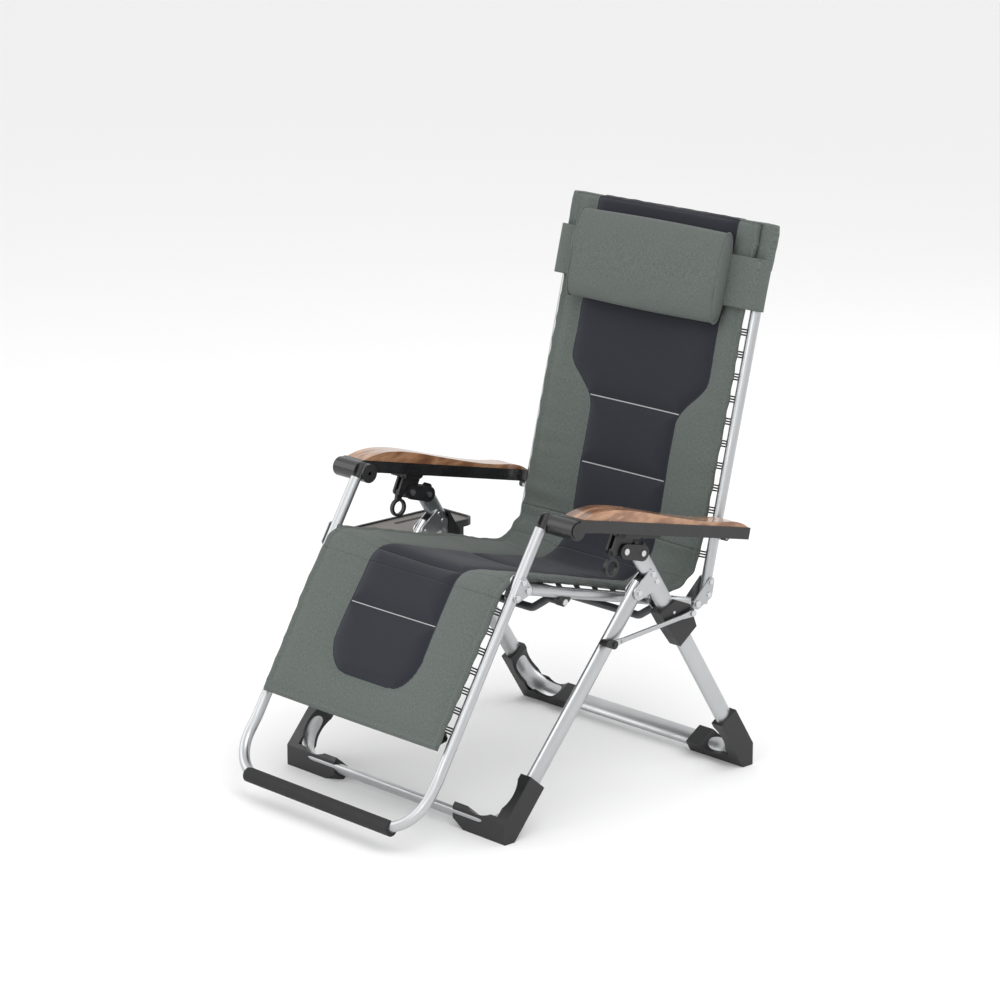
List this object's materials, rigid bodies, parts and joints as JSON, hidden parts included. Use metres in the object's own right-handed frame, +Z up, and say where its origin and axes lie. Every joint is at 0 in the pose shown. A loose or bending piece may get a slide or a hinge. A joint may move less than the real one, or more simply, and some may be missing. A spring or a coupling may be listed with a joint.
{
  "type": "zero gravity recliner",
  "caption": "Folding zero gravity recliner with U-shaped legs, sliding seat collars, channel armrests, laced fabric, head pillow and a side tray.",
  "frame": {"origin": "on the floor, in the chair's middle plane, between the front and rear feet", "axes": "+X to the sitter's left, -Y to the front, +Z up"},
  "size_m": [0.825, 1.0008, 1.105],
  "materials": {
    "silver_tube": "silver anodised tube",
    "steel": "zinc plated steel",
    "rivet": "plated rivet",
    "black_nylon": "black moulded nylon",
    "dark_tube": "dark grey powder coat",
    "fabric": "grey-green woven polyester with a navy centre panel",
    "lace": "black elastic lace",
    "foam": "black foam",
    "arm_shell": "black moulded plastic",
    "wood_print": "glossy brown wood-grain print",
    "tray_top": "grey-brown moulded plastic"
  },
  "bodies": {
    "legs": {"rear_leg_frame": "silver_tube", "rear_foot_left": "black_nylon", "rear_foot_right": "black_nylon", "leg_gusset_plates": "steel", "gusset_rivets": "rivet", "leg_knuckle_left": "black_nylon", "leg_knuckle_right": "black_nylon", "knuckle_rivets": "rivet", "front_leg_frame": "silver_tube", "front_foot_left": "black_nylon", "front_foot_right": "black_nylon", "front_leg_caps": "black_nylon", "brace_forks": "black_nylon", "leg_collar_left": "black_nylon", "leg_collar_right": "black_nylon", "collar_rivets": "rivet", "brace_links": "silver_tube", "seat_pivot_pins": "rivet", "slider_pins": "rivet"},
    "seat": {"seat_rail_left": "silver_tube", "seat_rail_right": "silver_tube", "seat_pivot_brackets": "steel", "seat_cross_bar_front": "dark_tube", "seat_cross_bar_rear": "dark_tube", "cross_bar_brackets": "black_nylon", "cross_bar_bolts": "rivet", "seat_pad": "fabric", "seat_lacing": "lace", "knee_pins": "rivet", "back_pins": "rivet"},
    "legrest": {"legrest_frame": "silver_tube", "legrest_hinge_plates": "steel", "legrest_rivets": "rivet", "legrest_hubs": "black_nylon", "legrest_pad": "fabric", "foot_grip": "foam", "legrest_lacing": "lace", "legrest_tabs": "black_nylon"},
    "back": {"back_frame": "silver_tube", "back_hinge_plates": "steel", "back_rivets": "rivet", "back_pad": "fabric", "back_sleeve": "fabric", "back_lacing": "lace", "arm_pins": "rivet"},
    "armrests": {"arm_shell_left": "arm_shell", "arm_shell_right": "arm_shell", "arm_top_left": "wood_print", "arm_top_right": "wood_print", "arm_hub_caps": "black_nylon"},
    "sliders": {"slider_block_left": "black_nylon", "slider_block_right": "black_nylon"},
    "lock_lever_left": {"lock_lever_left": "black_nylon"},
    "lock_lever_right": {"lock_lever_right": "black_nylon"},
    "pillow": {"pillow": "fabric", "pillow_band": "fabric"},
    "tray": {"tray_plate": "tray_top", "tray_rim": "black_nylon", "tray_clamp": "black_nylon"}
  },
  "joints": [
    {"name": "seat_recline", "type": "hinge", "parent": "legs", "child": "seat", "pos_m": [0, 0.08, 0.374], "axis": [-1, 0, 0], "range_deg": [0, 18]},
    {"name": "back_recline", "type": "hinge", "parent": "seat", "child": "back", "pos_m": [0, 0.193, 0.359], "axis": [1, 0, 0], "range_deg": [-38.91, 0]},
    {"name": "legrest_recline", "type": "hinge", "parent": "seat", "child": "legrest", "pos_m": [0, -0.276, 0.48], "axis": [1, 0, 0], "range_deg": [-43.32, 0]},
    {"name": "armrests_recline", "type": "hinge", "parent": "back", "child": "armrests", "pos_m": [0, 0.2585, 0.4885], "axis": [1, 0, 0], "range_deg": [0, 40.17]},
    {"name": "sliders_recline", "type": "hinge", "parent": "legs", "child": "sliders", "pos_m": [0, -0.055, 0.524], "axis": [1, 0, 0], "range_deg": [-17.05, 0]},
    {"name": "lock_lever_left_swing", "type": "hinge", "parent": "sliders", "child": "lock_lever_left", "pos_m": [0, -0.08, 0.528], "axis": [1, 0, 0], "range_deg": [-18, 18]},
    {"name": "lock_lever_right_swing", "type": "hinge", "parent": "sliders", "child": "lock_lever_right", "pos_m": [0, -0.08, 0.528], "axis": [1, 0, 0], "range_deg": [-18, 18]},
    {"name": "pillow_slide", "type": "slide", "parent": "back", "child": "pillow", "axis": [0, 0.2397, 0.9708], "range_m": [-0.1, 0]},
    {"name": "tray_lift", "type": "slide", "parent": "legs", "child": "tray", "axis": [0, 0, 1], "range_m": [0, 0.06]}
  ],
  "couplings": [
    {"joint": "back_recline", "follows": "seat_recline", "ratio": -2.1451},
    {"joint": "legrest_recline", "follows": "seat_recline", "ratio": -2.3899},
    {"joint": "armrests_recline", "follows": "seat_recline", "ratio": 2.2148},
    {"joint": "sliders_recline", "follows": "seat_recline", "ratio": -0.9303}
  ]
}
